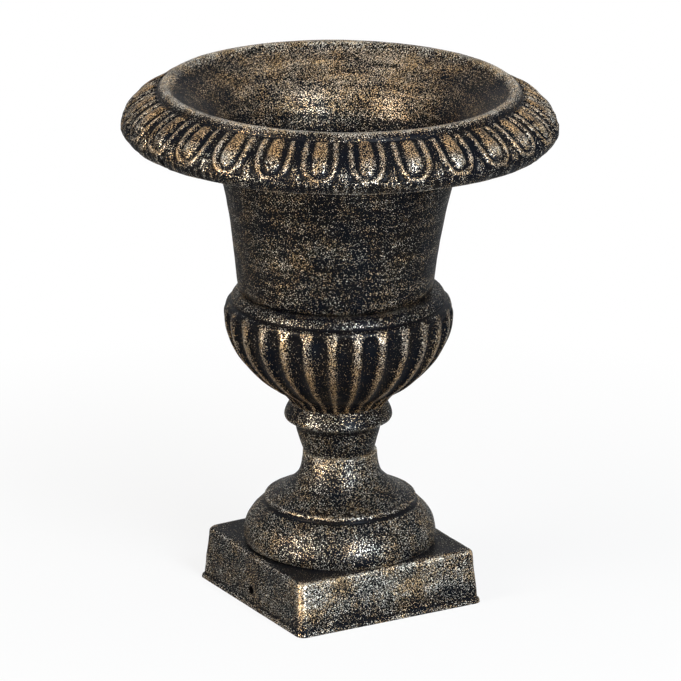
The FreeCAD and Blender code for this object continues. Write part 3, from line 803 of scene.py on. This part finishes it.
# The plain stretch shares its first and last circles with the carved one, so only the line between
# them is rounded: the whole loop is walked, and its carved part is left out of the rows.
bell_loop, bell_bend, bell_at = cast_outline([bell_slope] + plain_runs, rounding=0.3, rows=700,
                                             crowd=2.0)
is_plain = (bell_at > slope_at[-1] + 0.5) & (bell_at < bell_at[-1] - 0.3)
keep = np.unique(np.round(np.linspace(0, is_plain.sum() - 1, 86)).astype(int))
plain_line = bell_loop[is_plain][keep]
plain_bend = bell_bend[is_plain][keep]
plain_out = plain_line[:, 0]
plain_high = plain_line[:, 1]
plain_points = turned_points(plain_line, plain_columns)
plain_away = plain_points[..., :2] / plain_line[:, :1, None]
plain_points[..., :2] += plain_away * cast_waves(plain_points, 0.16, 13)[..., None]
# The brush rubs the bead, its top most, and a little of the mouth's inside. The mouth's far wall gets
# much more gold as painted light. The mouth's gold is browner, a little less so on the far wall.
plain_bead = soft_step(plain_out, 96.8, 97.3) * soft_fall(plain_out, 104.0, 104.8)
plain_bead *= soft_step(plain_high, 305.4, 306.4) * 0.38
plain_bead += soft_step(plain_high, 308.2, 309.0) * 0.50
plain_mouth = soft_step(plain_high, 262.0, 290.0) * soft_fall(plain_out, 96.8, 97.4)
plain_heading = np.linspace(0.0, 2.0 * math.pi, plain_columns, endpoint=False)[None, :]
plain_far_painted_light = soft_step(np.cos(plain_heading - math.radians(back)), 0.3, 0.95)
plain_rub_and_light = np.maximum(soft_step(plain_bend, 0.08, 0.6) * 0.6, plain_bead)[:, None]
# Painted light: much more gold on the mouth's far wall.
plain_rub_and_light = np.maximum(plain_rub_and_light, plain_mouth[:, None] * (0.02 + 0.54 * plain_far_painted_light))
plain_hollow = soft_step(-plain_bend, 0.1, 0.6)[:, None] * 0.5 + 0.0 * plain_points[..., 0]
plain_bronze = 0.15 + plain_mouth[:, None] * (0.5 - 0.2 * plain_far_painted_light)


def stitched(fine_start, fine_count, coarse_start, flip):
    """Faces that join a ring of many points to a ring with a fifth of them.

    Each coarse point fans out to the five fine points round its own heading, and a face closes
    each gap between two fans.
    """
    coarse = np.arange(fine_count // fan)
    beside = (coarse + 1) % len(coarse)
    fans = [np.stack([coarse_start + coarse, fine_start + (fan * coarse + k) % fine_count,
                      fine_start + (fan * coarse + k + 1) % fine_count], axis=1)
            for k in (-2, -1, 0, 1)]
    gap = np.stack([coarse_start + coarse, fine_start + (fan * coarse + 2) % fine_count,
                    fine_start + (fan * coarse + 3) % fine_count, coarse_start + beside], axis=1)
    fans = np.vstack(fans)
    return [fans[:, ::-1], gap[:, ::-1]] if flip else [fans, gap]


plain_rows = len(keep)
plain_start = slope_rows * slope_columns
bell_faces = [
    wrapped_faces(slope_rows, slope_columns, False),
    wrapped_faces(plain_rows, plain_columns, False, plain_start),
    *stitched(plain_start - slope_columns, slope_columns, plain_start, False),
    *stitched(0, slope_columns, plain_start + (plain_rows - 1) * plain_columns, True),
]
bell_points = np.vstack([slope_points.reshape(-1, 3), plain_points.reshape(-1, 3)])
# The bell leans a little: its foot sits over two millimetres left of the bolt, and its rim is
# nearly back in line but lower on the right. The floor stays round the bolt.
bell_lean = soft_step(bell_points[:, 2], 193.0, 300.0)
bell_reach = soft_step(np.hypot(bell_points[:, 0], bell_points[:, 1]), 15.0, 45.0)
bell_points[:, 2] += bell_tilt * (bell_points[:, :2] @ leftwards) * bell_lean
bell_points[:, :2] += (bell_aside * (1.0 - bell_lean) * bell_reach)[:, None] * leftwards
bell = casting("bell_casting", bell_points, bell_faces,
               np.concatenate([slope_rub_and_light.ravel(), plain_rub_and_light.ravel()]),
               np.concatenate([slope_hollow.ravel(), plain_hollow.ravel()]),
               np.concatenate([slope_bronze.ravel(), plain_bronze.ravel()]))
for turn in np.radians([0.0, 120.0, 240.0]):
    drain_place = (drain_circle * math.cos(turn), drain_circle * math.sin(turn),
                   (cup_top + floor_top) / 2)
    drill(bell, drain_place, (0.0, 0.0, 1.0), drain_radius, 12.0)
bell.data.materials.append(rubbed_iron("rubbed_bell", cover=0.215, strokes=0.075))
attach(bell, "root")
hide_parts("bell")


# Through bolt, washers and nut
# One long hexagon-headed bolt clamps the castings. The fasteners are zinc-plated steel, dulled by
# handling, and all five stay in the shapes that the frame has them in.


def zinc_steel(name):
    """Dull zinc plate: grey, faintly blotched, with fine scratches in its gloss."""
    dark_zinc = (0.30, 0.29, 0.27, 1.0)
    light_zinc = (0.52, 0.52, 0.50, 1.0)
    plate = bpy.data.materials.new(name)
    plate.use_nodes = True
    tree = plate.node_tree
    place = add_node(tree, "ShaderNodeTexCoord").outputs["Object"]
    blotch = add_node(tree, "ShaderNodeTexNoise", {"Vector": place, "Scale": 220.0,
                                                   "Detail": 4.0}).outputs["Fac"]
    colour = add_node(tree, "ShaderNodeValToRGB", {"Fac": blotch})
    for end, at, zinc in zip(colour.color_ramp.elements, (0.35, 0.65), (dark_zinc, light_zinc)):
        end.position = at
        end.color = zinc
    scratch = add_node(tree, "ShaderNodeBump", {"Height": blotch, "Strength": 0.25,
                                                "Distance": 0.0001})
    feed(tree, tree.nodes["Principled BSDF"], {
        "Base Color": colour.outputs["Color"],
        "Roughness": spread(tree, blotch, 0.0, 1.0, 0.30, 0.55),
        "Metallic": 0.9,
        "Normal": scratch.outputs["Normal"]})
    return plate


plated = zinc_steel("zinc_plate")
for node in ("tie_bolt", "bowl_washer", "base_washer", "spring_washer", "nut"):
    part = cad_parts[node]
    part.data.materials.clear()
    part.data.materials.append(plated)
